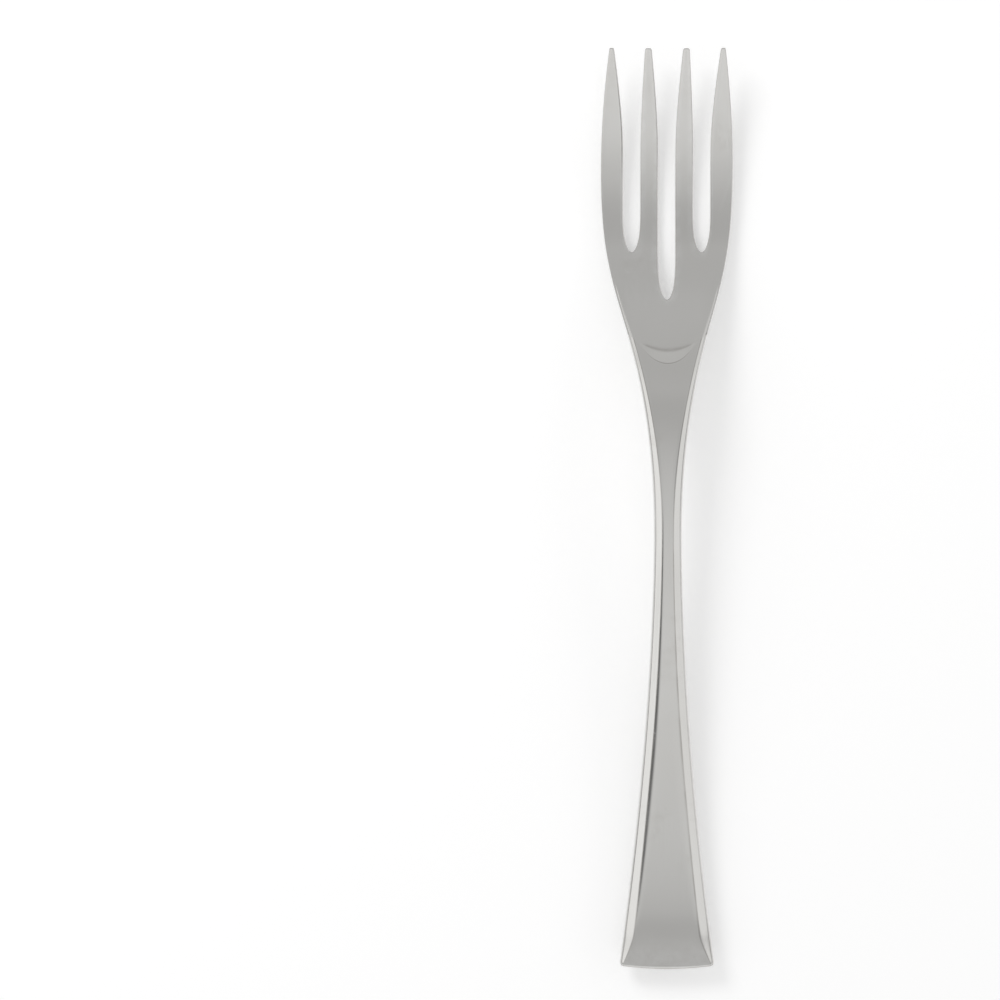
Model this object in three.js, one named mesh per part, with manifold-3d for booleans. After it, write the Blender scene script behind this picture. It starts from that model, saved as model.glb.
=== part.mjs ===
// Serving fork with a hollow handle, in millimetres, +Z up.
// It lies face up on a table at z = 0 with its tines towards +Y, and the origin is on the
// table under the middle of its length. A station is a distance along the fork from the
// end of the handle.
import * as THREE from "three";
import { LoftGeometry } from "three/addons/geometries/LoftGeometry.js";
import { mergeVertices } from "three/addons/utils/BufferGeometryUtils.js";
import Module from "manifold-3d";

// Lengths along the fork
const HANDLE_LENGTH = 151.4; // end of the handle to the middle of its mouth
const HEAD_LENGTH = 73.6; // middle of the mouth to the tine tips
const WAIST_STATION = 107; // narrowest place of the handle
const GRIP_STATION = 45; // thickest place of the handle
const SHOULDER_FROM_MOUTH = 21.8; // where the head's outline starts to round over
const WIDEST_FROM_TIPS = 30; // widest place of the head

// Widths across the fork
const HANDLE_END_WIDTH = 23.6; // at the end, before its corners are rounded
const WAIST_WIDTH = 6.7;
const MOUTH_WIDTH = 17.4;
const SHOULDER_WIDTH = 28.9;
const HEAD_WIDTH = 32.4;
const TIP_SPREAD = 28.4; // over the outer corners of the tine tips
const FLARE_POWER = 1.78; // how the handle widens from its waist to its end
const MOUTH_FLARE = 0.26; // slopes of the half width
const SHOULDER_FLARE = 0.185;
const TIP_TAPER = -0.13;
const END_SAG = 0.9; // bow of the handle's end
const END_CORNER = 1.3;

// Heights of the underside above the table
const REST_STATION = 26; // the handle rests here
const BELLY_FROM_MOUTH = 29; // the head rests here
const CROWN_STATION = 136; // top of the arch between the two rests
const END_LIFT = 2.4;
const CROWN_LIFT = 10.8;
const TIP_LIFT = 8.8;
const END_DROP = -0.2; // slopes of the underside
const TIP_RISE = 0.33;
const REST_FLAT = 0.15; // depth of the flats that the head rests on
const HANDLE_REST_FLAT = 0.08; // depth of the flat that the handle rests on

// Thicknesses
const END_THICKNESS = 4.4;
const GRIP_THICKNESS = 6.8;
const WAIST_THICKNESS = 5.6;
const MOUTH_THICKNESS = 4.4;
const SHOULDER_THICKNESS = 2.7;
const TIP_THICKNESS = 1.3;
const END_SWELL = 0.1; // slope of the thickness at the end

// Relief of the front
const PANEL_DEPTH = 1.5; // panel below the crest of the rims
const WAIST_PANEL_DEPTH = 1.15;
const END_RIM_WIDTH = 2.05; // inner slope of a rim, seen from above
const RIM_WIDTH = 1.65;
const WAIST_RIM_WIDTH = 1.45;
const MOUTH_PANEL_DEPTH = 0.4;
const MOUTH_RIM_WIDTH = 0.65;
const END_FILLET = 1.1; // curve from a rim's slope into the panel, seen from above
const FILLET = 2.2;
const WAIST_FILLET = 0.95;
const MOUTH_FILLET = 0.8;
const FILLET_SLOPE = 0.42; // where the curve meets the rim's slope
const FILLET_SHARE = 0.3; // most of the panel's depth that the curve may take
const SCOOP_START = 13; // the panel starts to curve up to the end here
const SCOOP_END = 1.2; // and reaches its lip here
const SCOOP_POWER = 2;
const MITRE_START = 7.8; // the rims start to narrow to the end's corners here
const MITRE_POWER = 1.2;
const END_LIP = 0.12; // share of the panel's depth left at the end
const EDGE_ROUND = 0.45;
const PALM_DISH = 1.5; // rise of the head's edges above its middle
const TIP_DISH = 1.2;

// Crescent where the head leaves the handle
const MOUTH_SAG = 3.1; // the mouth's edge at the rims, ahead of its middle
const CRESCENT_WIDTH = 3.4;
const CRESCENT_SPAN = 12.5;
const CRESCENT_DEPTH = 0.5;
const ROOT_DISH_DEPTH = 0.7;
const ROOT_DISH_REACH = 20; // the dish fades into the palm over this length from the mouth

// Tines
const SLOT_WIDTH = 4.2;
const SLOT_PITCH = 8.56; // middle slot to outer slot
const MIDDLE_SLOT_DEPTH = 61.2;
const OUTER_SLOT_DEPTH = 49.4;
const MIDDLE_ROOT_LENGTH = 9; // half length of the ellipse that rounds a slot's root
const OUTER_ROOT_LENGTH = 8;
const TINE_TAPER_LENGTH = 24;
const INNER_TIP_OFFSET = 4.65; // middle of an inner tine's tip from the fork's middle
const INNER_TIP_WIDTH = 1.7;
const OUTER_TIP_WIDTH = 1.2;

// Handle shells, tang and filler
const SHELL_WALL = 0.8;
const END_WALL = 1.2;
const SEAM_DROP = 2.8; // seam below the crest of the rims
const END_SEAM_DROP = 1.9;
const MOUTH_SEAM_DROP = 2.2;
const BRAZE_GAP = 0.1; // between the two shells
const MOUTH_GAP = 0.15; // between the shells and the head's shoulder
const FIT_GAP = 0.2; // around the root plug, the tang and the filler
const PLUG_LENGTH = 11; // root plug inside the mouth
const TANG_LENGTH = 83; // middle of the mouth to the end of the tang
const TANG_ROOT_WIDTH = 3.6;
const TANG_END_WIDTH = 2.4;
const TANG_ROOT_THICKNESS = 1.7;
const TANG_END_THICKNESS = 1.2;
const FILLER_REACH = 27; // the filler covers this much of the tang

// Stations and half widths worked out from the dimensions
const TIPS = HANDLE_LENGTH + HEAD_LENGTH;
const SHOULDER = HANDLE_LENGTH + SHOULDER_FROM_MOUTH;
const BELLY = HANDLE_LENGTH + BELLY_FROM_MOUTH;
const WIDEST = TIPS - WIDEST_FROM_TIPS;
const TANG_END = HANDLE_LENGTH - TANG_LENGTH;
const FILLER_START = END_SAG + END_WALL;
const FILLER_END = TANG_END + FILLER_REACH;
const END_HALF = HANDLE_END_WIDTH / 2;
const WAIST_HALF = WAIST_WIDTH / 2;
const MOUTH_HALF = MOUTH_WIDTH / 2;
const CLEAR_HALF = Math.max(END_HALF, HEAD_WIDTH / 2) + 5; // past every edge
const CLEAR_TOP = CROWN_LIFT + GRIP_THICKNESS + 20; // above the whole fork

// A smooth graph through knots of station, value and slope, level past both ends
function graph(...knots) {
  return (station) => {
    const first = knots[0];
    const last = knots[knots.length - 1];
    if (station <= first[0]) return first[1];
    if (station >= last[0]) return last[1];
    const next = knots.findIndex((knot) => knot[0] > station);
    const [startStation, startValue, startSlope] = knots[next - 1];
    const [endStation, endValue, endSlope] = knots[next];
    const length = endStation - startStation;
    const t = (station - startStation) / length;
    const startPull = new THREE.Vector2(t, startValue + (startSlope * length) / 3);
    const endPull = new THREE.Vector2(t, endValue - (endSlope * length) / 3);
    const curve = new THREE.CubicBezierCurve(
      new THREE.Vector2(t, startValue), startPull, endPull, new THREE.Vector2(t, endValue));
    return curve.getPoint(t).y;
  };
}

// Outline: a power curve from the waist to the handle's end, and a smooth graph to the tips
const headOutline = graph(
  [WAIST_STATION, WAIST_HALF, 0],
  [HANDLE_LENGTH, MOUTH_HALF, MOUTH_FLARE],
  [SHOULDER, SHOULDER_WIDTH / 2, SHOULDER_FLARE],
  [WIDEST, HEAD_WIDTH / 2, 0],
  [TIPS, TIP_SPREAD / 2, TIP_TAPER],
);

function halfWidth(station) {
  if (station >= WAIST_STATION) return headOutline(station);
  const flare = Math.pow(1 - station / WAIST_STATION, FLARE_POWER);
  return WAIST_HALF + (END_HALF - WAIST_HALF) * flare;
}

// Side view
const lift = graph(
  [0, END_LIFT, END_DROP],
  [REST_STATION, REST_FLAT - HANDLE_REST_FLAT, 0],
  [CROWN_STATION, CROWN_LIFT, 0],
  [BELLY, 0, 0],
  [TIPS, TIP_LIFT, TIP_RISE],
);
const thickness = graph(
  [0, END_THICKNESS, END_SWELL],
  [GRIP_STATION, GRIP_THICKNESS, 0],
  [WAIST_STATION, WAIST_THICKNESS, -0.02],
  [HANDLE_LENGTH, MOUTH_THICKNESS, -0.06],
  [SHOULDER, SHOULDER_THICKNESS, -0.03],
  [TIPS, TIP_THICKNESS, -0.02],
);
const underside = (station) => lift(station) - REST_FLAT;
const crest = (station) => underside(station) + thickness(station);

// Sunk panel between the rims, which runs out over the head's root
const panelDepth = graph(
  [0, PANEL_DEPTH, 0],
  [GRIP_STATION, PANEL_DEPTH, 0],
  [WAIST_STATION, WAIST_PANEL_DEPTH, -0.01],
  [HANDLE_LENGTH, MOUTH_PANEL_DEPTH, -0.02],
  [SHOULDER, 0, 0],
);
const rimWidth = graph(
  [0, END_RIM_WIDTH, 0],
  [GRIP_STATION, RIM_WIDTH, 0],
  [WAIST_STATION, WAIST_RIM_WIDTH, 0],
  [HANDLE_LENGTH, MOUTH_RIM_WIDTH, -0.01],
  [SHOULDER, MOUTH_RIM_WIDTH, 0],
);

const filletWidth = graph(
  [0, END_FILLET, 0],
  [GRIP_STATION, FILLET, 0],
  [WAIST_STATION, WAIST_FILLET, 0],
  [HANDLE_LENGTH, MOUTH_FILLET, 0],
);

// A share that falls from 1 at a station to the lip's share at the handle's end
function runOut(station, start, power) {
  const rise = (start - station) / (start - SCOOP_END);
  return 1 - (1 - END_LIP) * Math.pow(Math.min(1, Math.max(0, rise)), power);
}

// The panel's depth falls to the end lip in a scoop, and the rims narrow to the end's corners
const scoop = (station) => runOut(station, SCOOP_START, SCOOP_POWER);
const mitre = (station) => runOut(station, MITRE_START, MITRE_POWER);

const panelHeight = (station) => crest(station) - panelDepth(station) * scoop(station);

// How the head is dished from side to side, how square the back is, and where the seam runs
const sideRise = graph([HANDLE_LENGTH, 0, 0], [SHOULDER, PALM_DISH, 0.02], [TIPS, TIP_DISH, 0]);
const backPower = graph(
  [0, 2.6, 0],
  [WAIST_STATION, 2.2, 0],
  [HANDLE_LENGTH, 2.8, 0.03],
  [SHOULDER, 4, 0],
);
const seamDrop = graph(
  [0, END_SEAM_DROP, 0.02],
  [GRIP_STATION, SEAM_DROP, 0],
  [WAIST_STATION, SEAM_DROP, 0],
  [HANDLE_LENGTH, MOUTH_SEAM_DROP, -0.03],
  [SHOULDER, SHOULDER_THICKNESS / 2, -0.02],
  [TIPS, TIP_THICKNESS / 2, 0],
);
const seamHeight = (station) => crest(station) - seamDrop(station);

// A rounded underside from the seam to the middle, by shares of the half width
const BACK_SHARES = [1, 0.97, 0.9, 0.78, 0.6, 0.4, 0.2, 0];

function backPoints(half, seam, low, power) {
  return BACK_SHARES.map((share) => {
    const drop = Math.pow(1 - Math.pow(share, power), 1 / power);
    return new THREE.Vector2(share * half, seam - (seam - low) * drop);
  });
}

// A closed section from the points of its +X half, from top middle to bottom middle
function section(station, halfPoints) {
  const right = halfPoints.map((p) => new THREE.Vector3(p.x, station, p.y));
  const left = halfPoints.slice(1, -1).map((p) => new THREE.Vector3(-p.x, station, p.y));
  return [...right, ...left.reverse()];
}

// Section of the whole fork, before its slots are cut and its handle is hollowed
function forkSection(station) {
  const half = halfWidth(station);
  const top = crest(station);
  const panel = panelHeight(station);
  const rimInside = half - EDGE_ROUND - rimWidth(station) * mitre(station);
  const edge = Math.min(EDGE_ROUND, thickness(station) / 4);
  const fillet = Math.min(filletWidth(station) * mitre(station), rimInside / 2);
  const filletRise = Math.min((FILLET_SLOPE * fillet) / 2, FILLET_SHARE * (top - panel));
  const flat = rimInside - fillet;
  const points = [0, 0.34, 0.67, 1].map((share) => new THREE.Vector2(share * flat, panel));
  for (const share of [0.4, 0.7, 1]) {
    points.push(new THREE.Vector2(flat + share * fillet, panel + filletRise * share * share));
  }
  points.push(new THREE.Vector2(half - EDGE_ROUND, top));
  points.push(new THREE.Vector2(half - 0.3 * EDGE_ROUND, top - 0.3 * edge));
  points.push(new THREE.Vector2(half, top - edge));
  points.push(...backPoints(half, seamHeight(station), underside(station), backPower(station)));
  const rise = sideRise(station);
  for (const point of points) point.y += rise * Math.pow(point.x / half, 2);
  return section(station, points);
}

// Section of the space inside the handle, drawn in on every side by an inset
const cavityTop = (station) => panelHeight(station) - SHELL_WALL;
const cavityBottom = (station) => underside(station) + SHELL_WALL;

function cavitySection(station, inset) {
  const half = halfWidth(station) - SHELL_WALL - inset;
  const top = cavityTop(station) - inset;
  const low = cavityBottom(station) + inset;
  const seam = Math.min(seamHeight(station), top - 0.2 * (top - low));
  const points = [new THREE.Vector2(0, top), new THREE.Vector2(half, top)];
  points.push(...backPoints(half, seam, low, backPower(station)));
  return section(station, points);
}

// Section of the tang, in the middle of the space inside the handle
const tangWidth = graph([TANG_END, TANG_END_WIDTH, 0], [HANDLE_LENGTH, TANG_ROOT_WIDTH, 0]);
const tangThickness = graph(
  [TANG_END, TANG_END_THICKNESS, 0],
  [HANDLE_LENGTH, TANG_ROOT_THICKNESS, 0],
);

function tangSection(station, grow) {
  const half = tangWidth(station) / 2 + grow;
  const rise = tangThickness(station) / 2 + grow;
  const middle = (cavityTop(station) + cavityBottom(station)) / 2;
  const points = [[0, rise], [half, rise], [half, -rise], [0, -rise]];
  return section(station, points.map(([x, z]) => new THREE.Vector2(x, middle + z)));
}

// Even steps of at most a given length between two stations
function steps(from, to, longest) {
  const count = Math.max(1, Math.ceil((to - from) / longest));
  return Array.from({ length: count + 1 }, (_, i) => from + ((to - from) * i) / count);
}

// Solids, with joins and cuts
const wasm = await Module();
wasm.setup();

function solid(geometry) {
  const bare = new THREE.BufferGeometry();
  bare.setAttribute("position", geometry.getAttribute("position"));
  if (geometry.index) bare.setIndex(geometry.index);
  const merged = mergeVertices(bare, 1e-4);
  return new wasm.Manifold(new wasm.Mesh({
    numProp: 3,
    vertProperties: new Float32Array(merged.getAttribute("position").array),
    triVerts: new Uint32Array(merged.index.array),
  }));
}

function loft(stations, sectionAt) {
  const sections = stations.map((station) => sectionAt(station));
  return solid(new LoftGeometry(sections, { capStart: true, capEnd: true }));
}

// A plan shape, drawn in x and station, raised through the whole height of the fork
function tall(shape) {
  const geometry = new THREE.ExtrudeGeometry(shape, {
    depth: 2 * CLEAR_TOP,
    bevelEnabled: false,
    curveSegments: 20,
  });
  geometry.translate(0, 0, -CLEAR_TOP);
  return solid(geometry);
}

// The space over a height that changes along the fork
function spaceAbove(heightAt, stations) {
  return loft(stations, (station) => [
    new THREE.Vector3(-CLEAR_HALF, station, CLEAR_TOP),
    new THREE.Vector3(CLEAR_HALF, station, CLEAR_TOP),
    new THREE.Vector3(CLEAR_HALF, station, heightAt(station)),
    new THREE.Vector3(-CLEAR_HALF, station, heightAt(station)),
  ]);
}

// Plan of the handle, from its bowed end to the curved edge of its mouth
const mouthEdge = (x) => HANDLE_LENGTH + MOUTH_SAG * Math.pow(x / MOUTH_HALF, 2);
const mouthReach = Math.max(END_HALF, MOUTH_HALF) + 3;

function handlePlan(mouthGap) {
  const cornerX = halfWidth(END_SAG + END_CORNER) - END_CORNER;
  const cornerStation = END_SAG * Math.pow(cornerX / END_HALF, 2);
  const side = cornerX + END_CORNER;
  const centre = cornerStation + END_CORNER;
  const mouthSide = mouthEdge(mouthReach) + mouthGap;
  const mouthPull = 2 * (HANDLE_LENGTH + mouthGap) - mouthSide;
  const shape = new THREE.Shape();
  shape.moveTo(-cornerX, cornerStation);
  shape.quadraticCurveTo(0, -cornerStation, cornerX, cornerStation);
  shape.absarc(cornerX, centre, END_CORNER, -Math.PI / 2, 0, false);
  shape.lineTo(side, centre + 1);
  shape.lineTo(mouthReach, mouthSide);
  shape.quadraticCurveTo(0, mouthPull, -mouthReach, mouthSide);
  shape.lineTo(-side, centre + 1);
  shape.absarc(-cornerX, centre, END_CORNER, Math.PI, 1.5 * Math.PI, false);
  return shape;
}

function behindMouth(mouthGap) {
  const mouthSide = mouthEdge(mouthReach) + mouthGap;
  const mouthPull = 2 * (HANDLE_LENGTH + mouthGap) - mouthSide;
  const shape = new THREE.Shape();
  shape.moveTo(-mouthReach, -10);
  shape.lineTo(mouthReach, -10);
  shape.lineTo(mouthReach, mouthSide);
  shape.quadraticCurveTo(0, mouthPull, -mouthReach, mouthSide);
  return shape;
}

// A slot between two tines: its sides run out to the tips, and its root is half an ellipse
function slotPlan(sides, tips, depth, rootLength) {
  const [left, right] = sides;
  const [leftTip, rightTip] = tips;
  const taper = TIPS - TINE_TAPER_LENGTH;
  const pull = TIPS - (2 / 3) * TINE_TAPER_LENGTH;
  const root = TIPS - depth + rootLength;
  const shape = new THREE.Shape();
  shape.moveTo(leftTip, TIPS + 2);
  shape.lineTo(leftTip, TIPS);
  shape.quadraticCurveTo(left, pull, left, taper);
  shape.lineTo(left, root);
  shape.absellipse((left + right) / 2, root, (right - left) / 2, rootLength, Math.PI, 2 * Math.PI);
  shape.lineTo(right, taper);
  shape.quadraticCurveTo(right, pull, rightTip, TIPS);
  shape.lineTo(rightTip, TIPS + 2);
  return shape;
}

// Dish in the head's root, whose lower edge is the lower edge of the crescent
const CRESCENT_START = HANDLE_LENGTH - CRESCENT_WIDTH;
const CRESCENT_END = mouthEdge(CRESCENT_SPAN / 2);
const rootDishDepth = graph(
  [CRESCENT_START, 0, 0.05],
  [HANDLE_LENGTH, CRESCENT_DEPTH, 0.1],
  [CRESCENT_END + 3, ROOT_DISH_DEPTH, 0],
  [HANDLE_LENGTH + ROOT_DISH_REACH, 0, -0.02],
);

function rootDishSection(station) {
  const share = Math.sqrt((station - CRESCENT_START) / (CRESCENT_END - CRESCENT_START));
  const half = (CRESCENT_SPAN / 2) * share;
  const rise = sideRise(station) / Math.pow(halfWidth(station), 2);
  const depth = rootDishDepth(station);
  const points = [new THREE.Vector2(0, CLEAR_TOP), new THREE.Vector2(half, CLEAR_TOP)];
  for (const part of [1, 0.8, 0.6, 0.4, 0.2, 0]) {
    const x = part * half;
    const sunk = depth * (1 - part * part);
    points.push(new THREE.Vector2(x, panelHeight(station) + rise * x * x - sunk));
  }
  return section(station, points);
}

// Whole fork, table and root dish
const endStations = [0, 0.7, 1.5, 2.6, 4, 5.6, 7.6, 10];
const handleStations = steps(14, HANDLE_LENGTH - 6, 6);
const mouthStations = steps(HANDLE_LENGTH - 4, HANDLE_LENGTH + 8, 2);
const headStations = steps(HANDLE_LENGTH + 11, TIPS, 3.2);
const wholeFork = loft(
  [...endStations, ...handleStations, ...mouthStations, ...headStations], forkSection);
const aboveTable = solid(
  new THREE.BoxGeometry(2 * CLEAR_HALF, 2 * TIPS, CLEAR_TOP).translate(0, TIPS / 2, CLEAR_TOP / 2));
const rootDish = loft(
  [
    CRESCENT_START + 0.02,
    CRESCENT_START + 0.2,
    CRESCENT_START + 0.7,
    ...steps(CRESCENT_START + 1.5, HANDLE_LENGTH + ROOT_DISH_REACH, 1.6),
  ],
  rootDishSection,
);

// Handle shells
const handleBody = wholeFork.intersect(tall(handlePlan(0)));
const cavityStations = [
  FILLER_START, FILLER_START + 1, FILLER_START + 2.5, ...steps(FILLER_START + 5, HANDLE_LENGTH + 9, 6),
];
const hollowBody = handleBody.subtract(
  loft(cavityStations, (station) => cavitySection(station, 0)));
const seamStations = steps(-5, HANDLE_LENGTH + 15, 3);
const overSeam = spaceAbove((station) => seamHeight(station) + BRAZE_GAP / 2, seamStations);
const overBack = spaceAbove((station) => seamHeight(station) - BRAZE_GAP / 2, seamStations);
const frontShell = hollowBody.intersect(overSeam).subtract(rootDish);
const backShell = hollowBody.subtract(overBack).intersect(aboveTable);

// Head, with its root plug and tang
const middleHalf = SLOT_WIDTH / 2;
const middleTip = INNER_TIP_OFFSET - INNER_TIP_WIDTH / 2;
const outerSides = [SLOT_PITCH - SLOT_WIDTH / 2, SLOT_PITCH + SLOT_WIDTH / 2];
const outerTips = [INNER_TIP_OFFSET + INNER_TIP_WIDTH / 2, TIP_SPREAD / 2 - OUTER_TIP_WIDTH];
const mirrored = ([inner, outer]) => [-outer, -inner];
const slots = [
  slotPlan([-middleHalf, middleHalf], [-middleTip, middleTip], MIDDLE_SLOT_DEPTH, MIDDLE_ROOT_LENGTH),
  slotPlan(outerSides, outerTips, OUTER_SLOT_DEPTH, OUTER_ROOT_LENGTH),
  slotPlan(mirrored(outerSides), mirrored(outerTips), OUTER_SLOT_DEPTH, OUTER_ROOT_LENGTH),
];
const plug = loft(
  steps(HANDLE_LENGTH - PLUG_LENGTH, HANDLE_LENGTH + 2, 2.2),
  (station) => cavitySection(station, FIT_GAP));
const tang = loft(
  steps(TANG_END, HANDLE_LENGTH - PLUG_LENGTH + 3, 5),
  (station) => tangSection(station, 0));
let head = wholeFork.subtract(tall(behindMouth(MOUTH_GAP))).subtract(rootDish).intersect(aboveTable);
for (const slot of slots) head = head.subtract(tall(slot));
head = head.add(plug).add(tang);

// Filler, with a pocket for the end of the tang
const pocket = loft(
  steps(TANG_END - FIT_GAP, FILLER_END + 2, 5),
  (station) => tangSection(station, FIT_GAP));
const fillerStations = [
  FILLER_START + FIT_GAP,
  FILLER_START + 1,
  FILLER_START + 2.5,
  ...steps(FILLER_START + 5, FILLER_END, 6),
];
const filler = loft(fillerStations, (station) => cavitySection(station, FIT_GAP)).subtract(pocket);

// Scene
const polished = { color: 0xc9c7c2, roughness: 0.16, metalness: 1 };
const cement = { color: 0xb9b2a3, roughness: 0.85, metalness: 0 };

function piece(name, body, finish) {
  const mesh = body.getMesh();
  const geometry = new THREE.BufferGeometry();
  geometry.setAttribute("position", new THREE.BufferAttribute(mesh.vertProperties, 3));
  geometry.setIndex(new THREE.BufferAttribute(mesh.triVerts, 1));
  geometry.computeVertexNormals();
  const part = new THREE.Mesh(geometry, new THREE.MeshStandardMaterial(finish));
  part.name = name;
  return part;
}

const handle = new THREE.Group();
handle.add(piece("handle_front_shell", frontShell, polished));
handle.add(piece("handle_back_shell", backShell, polished));
handle.add(piece("handle_filler", filler, cement));

const fromHandleEnd = new THREE.Group();
fromHandleEnd.position.set(0, -TIPS / 2, 0);
fromHandleEnd.add(piece("fork_head", head, polished), handle);

const fork = new THREE.Group();
fork.add(fromHandleEnd);

export default fork;
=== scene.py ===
"""Serving fork with a hollow handle, lying face up in a plain studio.

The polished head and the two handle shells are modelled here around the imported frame, which keeps
its cast filler. A station is a distance along the fork from the end of the handle, x is a distance
from its middle, and a height is measured from the table. All of them are in millimetres, and every
mesh is in metres.
"""

import logging
import math
from dataclasses import dataclass, field
from enum import Enum
from typing import Callable, NamedTuple, Sequence

import bmesh
import bpy
from bmesh.types import BMEdge, BMFace, BMVert
from bpy.types import Material, Node, NodeSocket, NodeTree, Object
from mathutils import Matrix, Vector


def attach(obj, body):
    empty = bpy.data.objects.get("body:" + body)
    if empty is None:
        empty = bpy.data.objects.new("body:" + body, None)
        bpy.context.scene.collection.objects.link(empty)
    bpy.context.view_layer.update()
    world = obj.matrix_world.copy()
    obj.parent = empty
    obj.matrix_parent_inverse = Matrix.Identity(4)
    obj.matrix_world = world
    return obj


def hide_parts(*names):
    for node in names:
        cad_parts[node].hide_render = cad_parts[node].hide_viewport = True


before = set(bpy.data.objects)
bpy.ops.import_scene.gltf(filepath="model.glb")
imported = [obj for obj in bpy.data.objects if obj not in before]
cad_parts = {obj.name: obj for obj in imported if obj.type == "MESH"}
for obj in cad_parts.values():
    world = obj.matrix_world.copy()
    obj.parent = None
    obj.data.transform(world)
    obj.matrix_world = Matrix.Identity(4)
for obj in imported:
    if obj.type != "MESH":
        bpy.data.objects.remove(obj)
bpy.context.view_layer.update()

LOG = logging.getLogger("serving_fork")
MM = 0.001
BODY = "root"
SMOOTHING_LEVELS = 2
# Rounds in which a point's x and station, which depend on each other, come to rest.
ROUNDS = 6
Pair = tuple[float, float]
Triple = tuple[float, float, float]
Row = tuple[float, ...]
Colour = tuple[float, float, float]
Sockets = tuple[NodeSocket, NodeSocket, NodeSocket]


class Face(Enum):
    """Which side of a piece a face belongs to."""

    SHOWN = 0
    HIDDEN = 1
    WALL = 2
    ROUNDED = 3


class Mix(Enum):
    """What a Mix node blends: its data type, and the numbers of its two inputs and its output."""

    COLOUR = ("RGBA", 6, 7, 2)
    LEVEL = ("FLOAT", 2, 3, 0)


class Spot(NamedTuple):
    """Marks of a point of a sheet: columns in from its edge, row, rings out, and if it's inside."""

    step: int
    row: int
    ring: int
    inner: bool


def clamped(value: float) -> float:
    """Holds a value between 0 and 1."""
    return min(1.0, max(0.0, value))


@dataclass(frozen=True)
class Graph:
    """A smooth curve through knots of station, value and slope, level past both ends."""

    knots: tuple[Triple, ...]

    def at(self, station: float) -> float:
        """Reads the curve.

        Args:
            station: Distance along the fork.

        Returns:
            The curve's value there.
        """
        if station <= self.knots[0][0]:
            return self.knots[0][1]
        for (start, low, rise), (end, high, fall) in zip(self.knots, self.knots[1:]):
            if station < end:
                span = end - start
                t = (station - start) / span
                rest = 1.0 - t
                level = rest * rest * (1.0 + 2.0 * t) * low + t * t * (3.0 - 2.0 * t) * high
                return level + span * t * rest * (rest * rise - t * fall)
        return self.knots[-1][1]


@dataclass(frozen=True)
class RunOut:
    """Share that is left of a form where it runs out towards the end of the handle."""

    start: float
    power: float
    end: float = 1.2
    lip: float = 0.12

    def at(self, station: float) -> float:
        """Share at a station, from 1 at the start to the lip at the end."""
        rise = clamped((self.start - station) / (self.start - self.end))
        return 1.0 - (1.0 - self.lip) * rise ** self.power


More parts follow.
